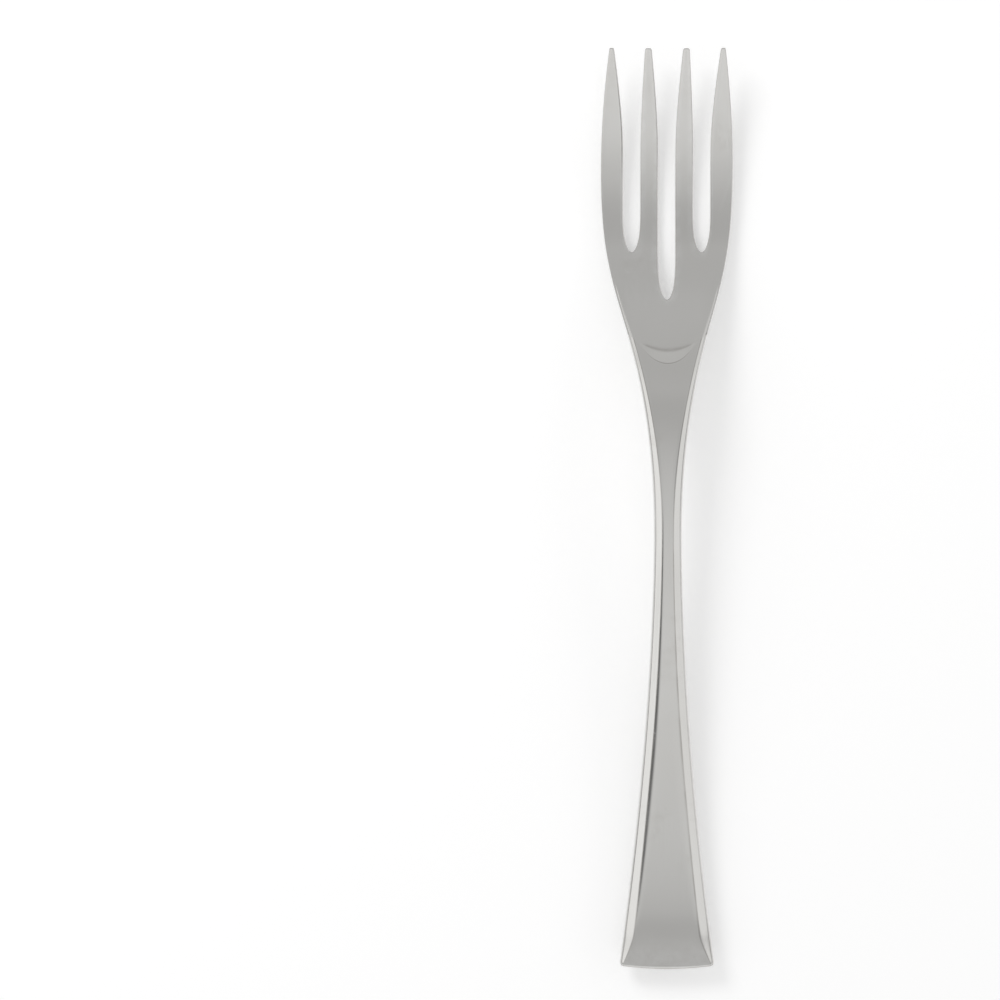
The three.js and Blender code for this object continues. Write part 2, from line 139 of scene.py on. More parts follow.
@dataclass(frozen=True)
class ForkForm:
    """Outline, side view and relief of the whole fork, which its pieces share."""

    length: float = 225.0
    mouth: float = 151.4
    mouth_half: float = 8.7
    mouth_sag: float = 3.1
    waist: float = 107.0
    waist_half: float = 3.35
    end_half: float = 11.8
    end_sag: float = 0.9
    end_run: float = 25.0
    flare: float = 1.78
    rest_flat: float = 0.15
    edge_round: float = 0.45
    scoop: RunOut = RunOut(13.0, 2.0)
    mitre: RunOut = RunOut(7.8, 1.2)
    crescent_half: float = 6.6
    crescent_width: float = 3.4
    crescent_power: float = 0.6
    crescent_slope: float = 0.147
    crescent_strip: float = 0.5
    clean_start: float = 0.75
    clean_run: float = 0.3
    clean_share: float = 0.85
    dish_run: float = 20.0
    outline: Graph = Graph((
        (107.0, 3.35, 0.0), (151.4, 8.7, 0.26), (173.2, 14.45, 0.185),
        (195.0, 16.2, 0.0), (225.0, 14.2, -0.13)))
    lift: Graph = Graph((
        (0.0, 2.4, -0.2), (26.0, 0.07, 0.0), (136.0, 10.8, 0.0),
        (180.4, 0.0, 0.0), (225.0, 8.8, 0.33)))
    thickness: Graph = Graph((
        (0.0, 4.4, 0.1), (45.0, 6.8, 0.0), (107.0, 5.6, -0.02),
        (151.4, 4.4, -0.06), (173.2, 2.7, -0.03), (225.0, 1.3, -0.02)))
    panel_depth: Graph = Graph((
        (0.0, 1.5, 0.0), (45.0, 1.5, 0.0), (107.0, 1.15, -0.01), (151.4, 0.4, -0.02),
        (173.2, 0.0, 0.0)))
    rim_width: Graph = Graph((
        (0.0, 2.05, 0.0), (45.0, 1.65, 0.0), (107.0, 1.45, 0.0),
        (151.4, 0.65, -0.01), (173.2, 0.65, 0.0)))
    fillet_width: Graph = Graph((
        (0.0, 1.1, 0.0), (45.0, 2.2, 0.0), (107.0, 0.95, 0.0), (151.4, 0.8, 0.0)))
    side_rise: Graph = Graph(((151.4, 0.0, 0.0), (173.2, 1.5, 0.02), (225.0, 1.2, 0.0)))
    back_power: Graph = Graph((
        (0.0, 2.6, 0.0), (107.0, 2.2, 0.0), (151.4, 2.8, 0.03), (173.2, 4.0, 0.0)))
    seam_drop: Graph = Graph((
        (0.0, 1.9, 0.02), (45.0, 2.8, 0.0), (107.0, 2.8, 0.0),
        (151.4, 2.2, -0.03), (173.2, 1.35, -0.02), (225.0, 0.65, 0.0)))

    def half_width(self, station: float) -> float:
        """Half of the fork's width at a station, before its end corners are rounded."""
        if station >= self.waist:
            return self.outline.at(station)
        share = (1.0 - station / self.waist) ** self.flare
        return self.waist_half + (self.end_half - self.waist_half) * share

    def underside(self, station: float) -> float:
        """Height of the middle of the underside, below the table where the fork has a flat."""
        return self.lift.at(station) - self.rest_flat

    def crest(self, station: float) -> float:
        """Height of the crest of the rims."""
        return self.underside(station) + self.thickness.at(station)

    def seam(self, station: float) -> float:
        """Height of the seam between the front and the back."""
        return self.crest(station) - self.seam_drop.at(station)

    def panel_drop(self, station: float) -> float:
        """Depth of the panel below the crest of the rims."""
        return self.panel_depth.at(station) * self.scoop.at(station)

    def end_bow(self, x: float, from_end: float) -> float:
        """How far a row near the end of the handle bows with it."""
        return self.end_sag * (x / self.end_half) ** 2 * clamped(1.0 - from_end / self.end_run)

    def mouth_edge(self, x: float) -> float:
        """Station of the curved edge of the handle's mouth."""
        return self.mouth + self.mouth_sag * (x / self.mouth_half) ** 2

    def crescent_run(self, x: float) -> float:
        """Length of the crescent behind the mouth's edge, and none beside it."""
        left = max(0.0, 1.0 - (x / self.crescent_half) ** 2)
        return self.crescent_width * left ** self.crescent_power

    def crescent_reach(self, x: float) -> float:
        """Length of the crescent behind the mouth's edge, or a narrow strip beside it."""
        return max(self.crescent_strip, self.crescent_run(x))

    def joint_grime_and_crease_shade(self, x: float) -> float:
        """Share of grime in the joint's line, which is close and clean beside the crescent, and of
        the painted shade along the crescent's lower line.
        """
        past = abs(x) - self.clean_start * self.crescent_half
        return 1.0 - self.clean_share * clamped(past / (self.clean_run * self.crescent_half))

    def root_dish(self, x: float, station: float) -> float:
        """Depth of the dish in the head's root, which starts at the crescent.

        Args:
            x: Distance from the middle.
            station: Distance along the fork.

        Returns:
            The depth below the panel.
        """
        reach = self.crescent_run(x)
        past = station - self.mouth_edge(x)
        if past <= 0.0:
            return self.crescent_slope * max(0.0, past + reach)
        t = min(1.0, past / self.dish_run)
        return self.crescent_slope * reach * (1.0 - t) ** 2 * (1.0 + 2.0 * t)

    def dished(self, x: float, station: float) -> float:
        """Rise of the head's sides above its middle."""
        return self.side_rise.at(station) * (x / self.half_width(station)) ** 2

    def back(self, x: float, station: float, wall: float = 0.0) -> float:
        """Height of the rounded back.

        Args:
            x: Distance from the middle.
            station: Distance along the fork.
            wall: Distance inside the back's outer face.

        Returns:
            The height, which is the seam's at the edges.
        """
        power = self.back_power.at(station)
        share = min(1.0, abs(x) / (self.half_width(station) - wall))
        seam = self.seam(station)
        depth = seam - self.underside(station) - wall
        return seam - depth * (1.0 - share ** power) ** (1.0 / power)

    def rounded(self, side: float, end: float, radius: float) -> Pair:
        """Rounds the corner between the handle's side and its end in plan.

        Args:
            side: Distance from the side.
            end: Distance from the end.
            radius: Radius of the corner.

        Returns:
            The two distances after rounding.
        """
        u, v = 1.0 - side / radius, 1.0 - end / radius
        if u <= 0.0 or v <= 0.0:
            return side, end
        return (radius * (1.0 - u * math.sqrt(1.0 - v * v / 2.0)),
                radius * (1.0 - v * math.sqrt(1.0 - u * u / 2.0)))

    def point(self, x: float, station: float, height: float) -> Vector:
        """A place on the fork as a point of the frame, in metres."""
        return Vector((x, station - self.length / 2.0, height)) * MM


class Skin:
    """A sheet of columns and rows that is opened, edged, thickened and bent into a piece."""

    def __init__(self, centre: int, rows: int) -> None:
        """Starts the sheet.

        Args:
            centre: Number of its middle column, counted from 0.
            rows: Number of points along the fork.
        """
        self.mesh = bmesh.new()
        marks = self.mesh.verts.layers
        self.column, self.row, self.ring, self.hidden = (
            marks.int.new(name) for name in ("column", "row", "ring", "hidden"))
        # The rub mark is edge wear plus a painted highlight on the scoop. The soil mark is grime in
        # the joints plus painted shade in creases.
        self.rub, self.soil_and_shade = (marks.float.new(name) for name in ("rub", "soil_and_shade"))
        self.crease = self.mesh.edges.layers.float.new("crease_edge")
        self.kind = self.mesh.faces.layers.int.new("kind")
        self.centre = centre
        self.last_row = rows - 1
        bmesh.ops.create_grid(self.mesh, x_segments=2 * centre, y_segments=rows - 1, size=1.0)
        for vert in self.mesh.verts:
            vert[self.column] = round((vert.co.x + 1.0) * centre)
            vert[self.row] = round((vert.co.y + 1.0) / 2.0 * self.last_row)

    def spot(self, vert: BMVert) -> Spot:
        """Marks of a point."""
        step = self.centre - abs(vert[self.column] - self.centre)
        return Spot(step, vert[self.row], vert[self.ring], bool(vert[self.hidden]))

    def open_cells(self, test: Callable[[int, int], bool]) -> None:
        """Takes cells out of the sheet.

        Args:
            test: Says whether the cell that starts at a column and row goes.
        """
        gone = []
        for face in self.mesh.faces:
            column = min(vert[self.column] for vert in face.verts)
            row = min(vert[self.row] for vert in face.verts)
            if test(column, row):
                gone.append(face)
        bmesh.ops.delete(self.mesh, geom=gone, context="FACES")

    def add_ring(self, ring: int) -> None:
        """Draws the open edges outwards by one ring, apart from those of the last row.

        Args:
            ring: Number of the new ring.
        """
        edges = [edge for edge in self.mesh.edges if edge.is_boundary
                 and all(vert[self.ring] == ring - 1 for vert in edge.verts)
                 and any(vert[self.row] != self.last_row for vert in edge.verts)]
        for item in bmesh.ops.extrude_edge_only(self.mesh, edges=edges)["geom"]:
            if isinstance(item, BMVert):
                item[self.ring] = ring

    def thicken(self) -> None:
        """Gives the sheet a second, hidden side and the walls between the two."""
        shown = list(self.mesh.faces)
        made = bmesh.ops.extrude_face_region(self.mesh, geom=shown)["geom"]
        for face in self.mesh.faces:
            face[self.kind] = Face.WALL.value
        for face in shown:
            face[self.kind] = Face.SHOWN.value
        for item in made:
            if isinstance(item, BMVert):
                item[self.hidden] = 1
            elif isinstance(item, BMFace):
                item[self.kind] = Face.HIDDEN.value

    def bend(self, form: ForkForm, place: Callable[[Spot], Triple]) -> None:
        """Moves every point to its place, the same on both sides of the fork.

        Args:
            form: Form of the fork.
            place: Gives x, station and height of a point from its marks.
        """
        for vert in self.mesh.verts:
            x, station, height = place(self.spot(vert))
            side = 1.0 if vert[self.column] > self.centre else -1.0
            vert.co = form.point(side * x, station, height)

    def walls(self, side: Face) -> list[BMEdge]:
        """Edges where the shown or the hidden side meets the walls."""
        pair = {side.value, Face.WALL.value}
        return [edge for edge in self.mesh.edges
                if len(edge.link_faces) == 2
                and {face[self.kind] for face in edge.link_faces} == pair]

    def sharpen(self, edges: Sequence[BMEdge], amount: float = 1.0) -> None:
        """Keeps edges crisp when the piece is smoothed.

        Args:
            edges: Edges to keep.
            amount: From 0, soft, to 1, sharp.
        """
        for edge in edges:
            edge[self.crease] = amount
            edge.smooth = amount < 1.0

    def round_edges(self, edges: Sequence[BMEdge], radius: float) -> None:
        """Rounds edges with a two-step bevel.

        Args:
            edges: Edges to round.
            radius: Distance in millimetres that the rounding takes from each side.
        """
        made = bmesh.ops.bevel(
            self.mesh, geom=list(edges), offset=radius * MM, offset_type="OFFSET", affect="EDGES",
            segments=2, profile=0.5, material=-1, clamp_overlap=True)
        for face in made["faces"]:
            face[self.kind] = Face.ROUNDED.value

    def finish(self, name: str) -> Object:
        """Turns the sheet into a smooth object in the scene.

        Args:
            name: Name of the piece.

        Returns:
            The new object, at the origin.
        """
        bmesh.ops.recalc_face_normals(self.mesh, faces=list(self.mesh.faces))
        for face in self.mesh.faces:
            face.smooth = True
        data = bpy.data.meshes.new(name)
        self.mesh.to_mesh(data)
        self.mesh.free()
        for mark in ("column", "row", "ring", "hidden", "kind"):
            data.attributes.remove(data.attributes[mark])
        piece = bpy.data.objects.new(name, data)
        bpy.context.scene.collection.objects.link(piece)
        smoothing = piece.modifiers.new("smoothing", "SUBSURF")
        smoothing.levels = smoothing.render_levels = SMOOTHING_LEVELS
        return piece


def settle(piece: Object, node: str, finish: Material) -> None:
    """Puts a finished piece in the place of a node of the frame.

    Args:
        piece: Object of the piece.
        node: Node that it stands for.
        finish: Material of the piece.
    """
    piece.data.materials.append(finish)
    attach(piece, BODY)
    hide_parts(node)
    LOG.info("%s stands for %s, with %d cage faces", piece.name, node, len(piece.data.polygons))


@dataclass
class FrontShell:
    """Pressed front of the handle: raised rims, a sunk panel and a crescent at its mouth."""

    form: ForkForm
    wall: float = 0.8
    end_wall: float = 1.2
    end_corner: float = 1.1
    seam_gap: float = 0.008
    side_inset: Row = (0.38, 0.10, 0.0, 0.0)
    side_drop: Row = (0.0, 0.18, 0.6)
    end_inset: Row = (0.8, 0.3, 0.04, 0.0)
    end_drop: Row = (0.12, 0.30, 0.9)
    slope: tuple[Pair, ...] = ((0.04, 0.03), (0.93, 0.92), (1.04, 1.0))
    least_rim: float = 0.25
    fillet: Row = (0.25, 0.55, 1.0)
    fillet_slope: float = 0.42
    fillet_share: Graph = Graph(((95.0, 0.3, 0.0), (151.4, 0.1, 0.0)))
    floor_shares: Row = (0.9, 0.72, 0.48, 0.24, 0.0)
    rows: Row = (
        0.8, 1.2, 1.8, 2.6, 3.6, 4.7, 5.8, 6.8, 7.6, 8.6, 10.2, 12.5, 16.0, 20.0, 25.0, 31.0, 38.0,
        46.0, 54.0, 62.0, 70.0, 78.0, 86.0, 93.0, 99.0, 104.0, 109.0, 114.0, 119.0, 124.0, 129.0,
        134.0, 138.5, 142.0, 144.6)
    inner_row: float = 0.3
    inner_rise: float = 0.3
    mouth_bow: float = 122.0
    mouth_run: float = 22.0
    crescent_shares: Row = (-0.25, -0.06, 0.0, 0.06, 0.3, 0.65, 1.0)
    crescent_crease: float = 0.85
    rubbed_rings: int = 2
    # Painted highlight: the scoop's floor is painted lighter towards the handle's end.
    scoop_rub: float = 0.9
    # Painted shade: the foot of each rim's fillet is painted darker, given per column.
    foot_shade: Row = (1.0, 0.4)
    seam_soil: float = 0.5

    @property
    def panel_step(self) -> int:
        """Columns from the crest of the rim to the edge of the panel."""
        return len(self.slope) + len(self.fillet)

    @property
    def crescent_row(self) -> int:
        """Row along the lower edge of the crescent."""
        return len(self.rows) + self.crescent_shares.index(0.0)

    def station(self, row: int, x: float, from_end: float) -> float:
        """Station of a point of a row, which bows with the end, the crescent or the mouth.

        Args:
            row: Number of the row.
            x: Distance from the middle.
            from_end: Distance of the row from the handle's end line.

        Returns:
            The station.
        """
        form = self.form
        if row >= len(self.rows):
            share = self.crescent_shares[row - len(self.rows)]
            return form.mouth_edge(x) - (1.0 - share) * form.crescent_reach(x)
        near = clamped((from_end - self.mouth_bow) / self.mouth_run)
        crescent = form.mouth_edge(x) - form.crescent_reach(x) - form.mouth + form.crescent_width
        return from_end + form.end_bow(x, from_end) + crescent * near * near

    def inset(self, step: int, station: float) -> float:
        """Distance of a column from the handle's edge in plan.

        Args:
            step: Columns in from the crest of the rim.
            station: Distance along the fork.

        Returns:
            The distance.
        """
        form = self.form
        narrow = max(self.least_rim, form.mitre.at(station))
        rim = form.rim_width.at(station) * narrow
        fillet = form.fillet_width.at(station) * narrow
        if step == 0:
            return self.side_inset[0]
        if step <= len(self.slope):
            return form.edge_round + self.slope[step - 1][0] * rim
        if step <= self.panel_step:
            return form.edge_round + rim + self.fillet[step - len(self.slope) - 1] * fillet
        share = self.floor_shares[step - self.panel_step - 1]
        half = form.half_width(station)
        return half - share * (half - form.edge_round - rim - fillet)

    def drop(self, step: int, station: float) -> float:
        """Share of the panel's depth that a column lies below the crest.

        Args:
            step: Columns in from the crest of the rim.
            station: Distance along the fork.

        Returns:
            The share, from 0 at the crest to 1 on the panel.
        """
        if step == 0:
            return 0.0
        depth = self.form.panel_depth.at(station)
        fillet = self.fillet_slope * self.form.fillet_width.at(station) / (2.0 * depth)
        foot = 1.0 - min(self.fillet_share.at(station), fillet)
        if step <= len(self.slope):
            return foot * self.slope[step - 1][1]
        if step <= self.panel_step:
            rest = 1.0 - self.fillet[step - len(self.slope) - 1]
            return 1.0 - (1.0 - foot) * rest * rest
        return 1.0

    def plan(self, spot: Spot) -> Pair:
        """Place of a point in plan.

        Args:
            spot: Marks of the point.

        Returns:
            Its x and its station.
        """
        step, row, ring, inner = spot
        panel = self.panel_step
        from_end = self.rows[row] if row < len(self.rows) else 0.0
        if row == 0:
            from_end = self.end_wall if inner else self.end_inset[ring]
        elif inner and row < len(self.rows):
            from_end = max(from_end, self.end_wall + self.inner_row * row)
        x = 0.0
        for _ in range(ROUNDS):
            station = self.station(row, x, from_end)
            half = self.form.half_width(station)
            side = self.inset(step, station)
            if inner and step < panel:
                side = self.wall + (self.inset(panel, station) - self.wall) * step / panel
            elif step == 0:
                side = self.side_inset[ring]
            if row == 0 and not inner:
                side, end = self.form.rounded(side, from_end, self.end_corner)
                station = self.station(row, half - side, end)
            x = half - side
        return x, station

    def place(self, spot: Spot) -> Triple:
        """Gives the place of a point, on the outer face or on the inner one, flat under the panel.

        Args:
            spot: Marks of the point.

        Returns:
            Its x, station and height.
        """
        form, ring, last = self.form, spot.ring, len(self.side_drop)
        x, station = self.plan(spot)
        seam = form.seam(station) + self.seam_gap
        crest, panel = form.crest(station), form.panel_drop(station)
        dish = form.root_dish(x, station)
        if spot.inner:
            top = max(crest - panel - dish - self.wall, seam + self.inner_rise)
            return x, station, seam + (top - seam) * (1.0 - ring / last)
        if ring == last:
            return x, station, seam
        drop = self.drop(spot.step, station) * panel + dish
        if ring and spot.row == 0:
            drop = self.end_drop[ring]
            if spot.step == 0:
                drop = (drop + self.side_drop[ring]) / 2.0
        elif ring:
            drop = self.side_drop[ring]
        return x, station, crest - drop + form.dished(x, station)

    def build(self) -> Object:
        """Models the shell.

        Returns:
            The shell's object.
        """
        skin = Skin(self.panel_step + len(self.floor_shares),
                    len(self.rows) + len(self.crescent_shares))
        for ring in range(1, len(self.side_inset)):
            skin.add_ring(ring)
        skin.thicken()
        skin.bend(self.form, self.place)
        self.mark(skin)
        skin.sharpen(skin.walls(Face.SHOWN) + skin.walls(Face.HIDDEN))
        skin.sharpen(self.crescent_edges(skin), self.crescent_crease)
        return skin.finish("handle_front_polished")

    def crescent_edges(self, skin: Skin) -> list[BMEdge]:
        """Edges along the lower line of the crescent, over the panel."""
        line = {vert for vert in skin.mesh.verts
                if skin.spot(vert).step > self.panel_step
                and skin.spot(vert)[1:] == (self.crescent_row, 0, False)}
        return [edge for edge in skin.mesh.edges if line.issuperset(edge.verts)]

    def mark(self, skin: Skin) -> None:
        """Marks where the rims are rubbed and where the scoop gets its painted highlight, and where
        grime stays in the joints and painted shade lies at the foot of the rims and along the
        crescent's lower line.

        Args:
            skin: The shell's sheet, already in place.
        """
        for vert in skin.mesh.verts:
            step, row, ring, inner = skin.spot(vert)
            if inner:
                continue
            if ring < self.rubbed_rings and 0 in (step, row):
                vert[skin.rub] = 1.0
            past_foot = step - len(self.slope)
            # Painted shade along the crease at the foot of the rims.
            if 0 <= past_foot < len(self.foot_shade):
                vert[skin.soil_and_shade] = self.foot_shade[past_foot]
            # Grime in the joint's line, and painted shade along the crescent's lower line.
            if row in (self.crescent_row, skin.last_row) and past_foot > len(self.foot_shade):
                vert[skin.soil_and_shade] = self.form.joint_grime_and_crease_shade(vert.co.x / MM)
            # Painted highlight on the scoop, lighter towards the handle's end.
            elif row < len(self.rows) and past_foot >= len(self.foot_shade):
                reach = 1.0 - self.rows[row] / self.form.scoop.start
                vert[skin.rub] = max(vert[skin.rub], self.scoop_rub * reach)
            if ring == len(self.side_drop):
                vert[skin.soil_and_shade] = self.seam_soil


@dataclass
class BackShell:
    """Pressed rounded back of the handle, brazed edge to edge with the front."""

    form: ForkForm
    front: FrontShell
    end_round: float = 3.2
    end_corner: float = 1.35
    shares: Row = (1.0, 0.985, 0.94, 0.85, 0.72, 0.55, 0.37, 0.18, 0.0)
    rows: Row = (
        0.0, 0.07, 0.28, 0.7, 1.4, 2.4, 3.6, 5.2, 7.5, 10.5, 14.5, 19.0, 24.0, 30.0, 37.0, 45.0,
        53.0, 61.0, 69.0, 77.0, 85.0, 92.0, 98.0, 104.0, 110.0, 116.0, 122.0, 128.0, 134.0, 139.5,
        144.0, 148.0, 151.4)
    inner_row: float = 0.35
    mouth_bow: float = 120.0
    mouth_run: float = 31.4

    def station(self, x: float, from_end: float) -> float:
        """Station of a point of a row, which bows with the end or the mouth."""
        near = clamped((from_end - self.mouth_bow) / self.mouth_run)
        mouth = self.form.mouth_edge(x) - self.form.mouth
        return from_end + self.form.end_bow(x, from_end) + mouth * near * near

    def plan(self, spot: Spot) -> Pair:
        """Place of a point in plan.

        Args:
            spot: Marks of the point.

        Returns:
            Its x and its station.
        """
        from_end, wall = self.rows[spot.row], 0.0
        if spot.inner:
            from_end = max(from_end, self.front.end_wall + self.inner_row * spot.row)
            wall = self.front.wall
        x = 0.0
        for _ in range(ROUNDS):
            station = self.station(x, from_end)
            half = self.form.half_width(station) - wall
            x = half * self.shares[spot.step]
            if not spot.inner and from_end < self.end_corner:
                side, end = self.form.rounded(half - x, from_end, self.end_corner)
                x = half - side
                station = self.station(x, end)
        return x, station

    def place(self, spot: Spot) -> Triple:
        """Gives the place of a point.

        Args:
            spot: Marks of the point.

        Returns:
            Its x, station and height.
        """
        form = self.form
        x, station = self.plan(spot)
        seam = form.seam(station)
        reach = max(0.0, 1.0 - self.rows[spot.row] / self.end_round)
        fall = math.sqrt(1.0 - reach * reach)
        back = form.back(x, station, self.front.wall if spot.inner else 0.0)
        height = seam - (seam - back) * fall + form.dished(x, station)
        if 0 in (spot.step, spot.row):
            height = seam
        height = min(height, seam - self.front.seam_gap)
        return x, station, height if spot.inner else max(height, 0.0)

    def build(self) -> Object:
        """Models the shell.

        Returns:
            The shell's object.
        """
        skin = Skin(len(self.shares) - 1, len(self.rows))
        skin.thicken()
        skin.bend(self.form, self.place)
        for vert in skin.mesh.verts:
            spot = skin.spot(vert)
            if not spot.inner and (spot.step == 0 or spot.row in (0, skin.last_row)):
                vert[skin.soil_and_shade] = self.front.seam_soil
        skin.sharpen(skin.walls(Face.SHOWN) + skin.walls(Face.HIDDEN))
        return skin.finish("handle_back_polished")


@dataclass(frozen=True)
class Slot:
    """Slot between two tines: its middle, the places of its sides, and its root."""

    middle: float
    half: float
    low_tip: float
    high_tip: float
    root: float
    root_length: float
    root_step: float = 0.45
    taper_start: float = 201.0
    taper_length: float = 24.0
    taper_pull: float = 16.0

    def sides(self, station: float) -> Pair:
        """Places of the slot's two sides.

        Args:
            station: Distance along the fork.

        Returns:
            The side nearer the fork's middle, and the further one.
        """
        station = max(station, self.root + self.root_step)
        half = self.half
        to_full = (self.root + self.root_length - station) / self.root_length
        if to_full > 0.0:
            half *= math.sqrt(1.0 - to_full * to_full)
        low, high = self.middle - half, self.middle + half
        past = station - self.taper_start
        if past > 0.0:
            pull, bend = self.taper_pull, self.taper_length - self.taper_pull
            t = (math.sqrt(pull * pull + 4.0 * bend * past) - pull) / (2.0 * bend)
            low += (self.low_tip - low) * t * t
            high += (self.high_tip - high) * t * t
        return low, high

    def root_place(self, share: float) -> float:
        """Station of the root's round end, at a share of its half-width there."""
        left = 1.0 - self.root_step / self.root_length
        rest = math.sqrt(1.0 - share * share * (1.0 - left * left))
        return self.root + self.root_length * (1.0 - rest)


@dataclass
class ForkHead:
    """Forged head: four tines, a dished palm, and the plug and tang inside the handle."""

    form: ForkForm
    middle_slot: Slot = Slot(0.0, 2.1, -3.8, 3.8, 163.8, 9.0)
    outer_slot: Slot = Slot(8.56, 2.1, 5.5, 13.0, 175.6, 8.0)
    slot_cells: int = 4
    slot_spread: float = 0.6
    spread_run: float = 9.0
    mouth_gap: float = 0.05
    side_gap: float = 0.012
    gap_share: float = 0.85
    joint_soil: float = 0.7
    bevel: float = 0.28
    root_share: float = 0.55
    rim_margin: float = 0.4
    least_rim: float = 0.3
    rim_columns: Row = (0.04, 0.27, 0.30, 0.45, 0.60, 0.84)
    rim_drops: Row = (0.03, 0.83, 0.90, 0.97, 1.0, 1.0)
    rim_insets: Row = (0.48, 1.06, 1.14, 1.54, 1.9, 9.0)
    plug_length: float = 11.0
    plug_inset: float = 1.0
    plug_cover: float = 1.0
    plug_side: float = 1.3
    plug_play: float = 0.1
    tang_length: float = 83.0
    tang_half: float = 1.3
    tang_rise: float = 0.6
    rows: Row = (
        151.4, 152.6, 154.4, 156.6, 159.0, 161.6, 164.25, 165.3, 166.9, 169.3, 172.8,
        176.05, 177.1, 178.6, 180.8, 183.7, 188.0, 193.0, 198.0, 202.0, 206.0, 210.0, 213.5,
        217.0, 220.0, 222.6, 224.2, 225.0)
    mouth_run: float = 13.0
    middle_root_row: int = 6
    outer_root_row: int = 11
    centre: int = 15

    @property
    def slot_step(self) -> int:
        """Columns from the edge of the head to the outer slot."""
        return len(self.rim_columns) + 1

    def spread(self, slot: Slot, station: float) -> float:
        """How much a slot's columns widen behind its root."""
        return 1.0 + self.slot_spread * clamped((slot.root - station) / self.spread_run)

    def across(self, step: int, station: float) -> float:
        """Distance of a column from the middle of the fork.

        Args:
            step: Columns in from the edge of the head.
            station: Distance along the fork.

        Returns:
            The distance, which follows the slots and draws in towards the neck.
        """
        form, outer, share = self.form, self.outer_slot, self.root_share
        half = form.half_width(station)
        low, high = outer.sides(station)
        middle = outer.middle
        if station < outer.root:
            spread = self.spread(outer, station)
            scale = half / form.half_width(outer.root)
            low, high = middle + (low - middle) * spread, middle + (high - middle) * spread
            low, middle, high = low * scale, middle * scale, high * scale
        inner = self.middle_slot.sides(station)[1] * self.spread(self.middle_slot, station)
        if step == 0:
            return half
        if step < self.slot_step:
            crest, inset = self.rim_insets[0], self.rim_insets[step - 1]
            if step < len(self.rim_columns):
                left = form.panel_depth.at(station) / form.panel_depth.at(form.mouth)
                inset = crest + (inset - crest) * max(self.least_rim, min(1.0, left))
            room = half - high - 2.0 * self.rim_margin
            return half - min(inset, self.rim_margin + self.rim_columns[step - 1] * room)
        columns = (high, middle + (high - middle) * share, middle, middle + (low - middle) * share,
                   low, (low + inner) / 2.0, inner, inner * share, 0.0)
        return columns[step - self.slot_step]

    def plan(self, step: int, row: int) -> Pair:
        """Place of a point in plan.

        Args:
            step: Columns in from the edge of the head.
            row: Number of the row.

        Returns:
            Its x and its station.
        """
        form = self.form
        base = self.rows[row]
        near = clamped(1.0 - (base - form.mouth) / self.mouth_run)
        x, station = 0.0, base
        for _ in range(ROUNDS):
            station = base + (form.mouth_edge(x) - form.mouth) * near ** 2
            x = self.across(step, station)
        if row == 0:
            in_crescent = x < self.gap_share * form.crescent_half
            station += self.mouth_gap if in_crescent else self.side_gap
        if row == self.middle_root_row and step >= self.centre - 1:
            station = self.middle_slot.root_place(self.root_share if step < self.centre else 0.0)
        from_middle = abs(step - self.slot_step - self.slot_cells // 2)
        if row == self.outer_root_row and from_middle <= 1:
            station = self.outer_slot.root_place(self.root_share if from_middle else 0.0)
        return x, station

    def place(self, spot: Spot) -> Triple:
        """Gives the place of a point.

        Args:
            spot: Marks of the point.

        Returns:
            Its x, station and height.
        """
        form, step = self.form, spot.step
        x, station = self.plan(step, spot.row)
        rise = form.dished(x, station)
        if spot.inner:
            return x, station, max(0.0, form.back(x, station) + rise)
        rim = 0 < step <= len(self.rim_drops)
        share = self.rim_drops[step - 1] if rim else float(step > 0)
        sunk = share * form.panel_depth.at(station) + form.root_dish(x, station)
        return x, station, form.crest(station) - sunk + rise

    def in_slot(self, column: int, row: int) -> bool:
        """Says whether the cell that starts at a column and row is in a slot."""
        from_outer = min(column, 2 * self.centre - 1 - column) - self.slot_step
        in_middle = abs(column + 0.5 - self.centre) < self.slot_cells / 2.0
        return ((row >= self.middle_root_row and in_middle)
                or (row >= self.outer_root_row and 0 <= from_outer < self.slot_cells))

    def build(self) -> Object:
        """Models the head with its plug and tang.

        Returns:
            The head's object.
        """
        skin = Skin(self.centre, len(self.rows))
        skin.open_cells(self.in_slot)
        skin.thicken()
        skin.bend(self.form, self.place)
        shoulder = [face for face in skin.mesh.faces if face[skin.kind] == Face.WALL.value
                    and all(vert[skin.row] == 0 for vert in face.verts)]
        skin.sharpen([edge for face in shoulder for edge in face.edges])
        self.add_tang(skin, shoulder)
        for vert in skin.mesh.verts:
            if vert[skin.row] == 0:
                vert[skin.soil_and_shade] = self.joint_soil * self.form.joint_grime_and_crease_shade(vert.co.x / MM)

        def along(edge: BMEdge) -> bool:
            """Says whether an edge is away from the shoulder."""
            return any(vert[skin.row] > 0 for vert in edge.verts)

        skin.round_edges(list(filter(along, skin.walls(Face.SHOWN))), self.bevel)
        low = [edge for edge in filter(along, skin.walls(Face.HIDDEN))
               if any(skin.spot(vert).step for vert in edge.verts)]
        skin.round_edges(low, self.bevel)
        for vert in skin.mesh.verts:
            if any(face[skin.kind] == Face.ROUNDED.value for face in vert.link_faces):
                vert[skin.rub] = 1.0
        return skin.finish("fork_head_polished")

